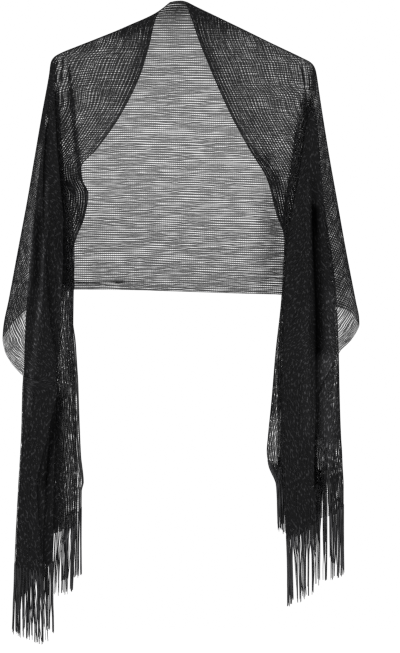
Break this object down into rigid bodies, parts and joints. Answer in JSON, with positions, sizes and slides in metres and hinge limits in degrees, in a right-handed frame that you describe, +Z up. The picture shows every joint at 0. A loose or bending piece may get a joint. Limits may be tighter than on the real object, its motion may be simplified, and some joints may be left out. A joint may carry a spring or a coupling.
{
  "type": "evening stole",
  "caption": "Long sheer rectangular stole hung open over the shoulders: one layer over the back, pleated tails down the front and a straight fringe at both ends.",
  "frame": {"origin": "where the cloth rests at the nape, level with the shoulder line beside the neck, midway between the shoulders", "axes": "+Z up, -Y to the front where the stole is open, +X to the shoulder on the right as seen from the front"},
  "size_m": [0.5362, 0.1983, 0.9612],
  "materials": {
    "sheer_cloth": "black open weave with a fine metallic glint",
    "fringe_yarn": "loose twisted black yarns, soft sheen"
  },
  "bodies": {
    "root": {"back": "sheer_cloth", "shoulder_left": "sheer_cloth", "shoulder_right": "sheer_cloth", "tail_left": "sheer_cloth", "tail_right": "sheer_cloth", "fringe_left": "fringe_yarn", "fringe_right": "fringe_yarn"}
  },
  "joints": []
}
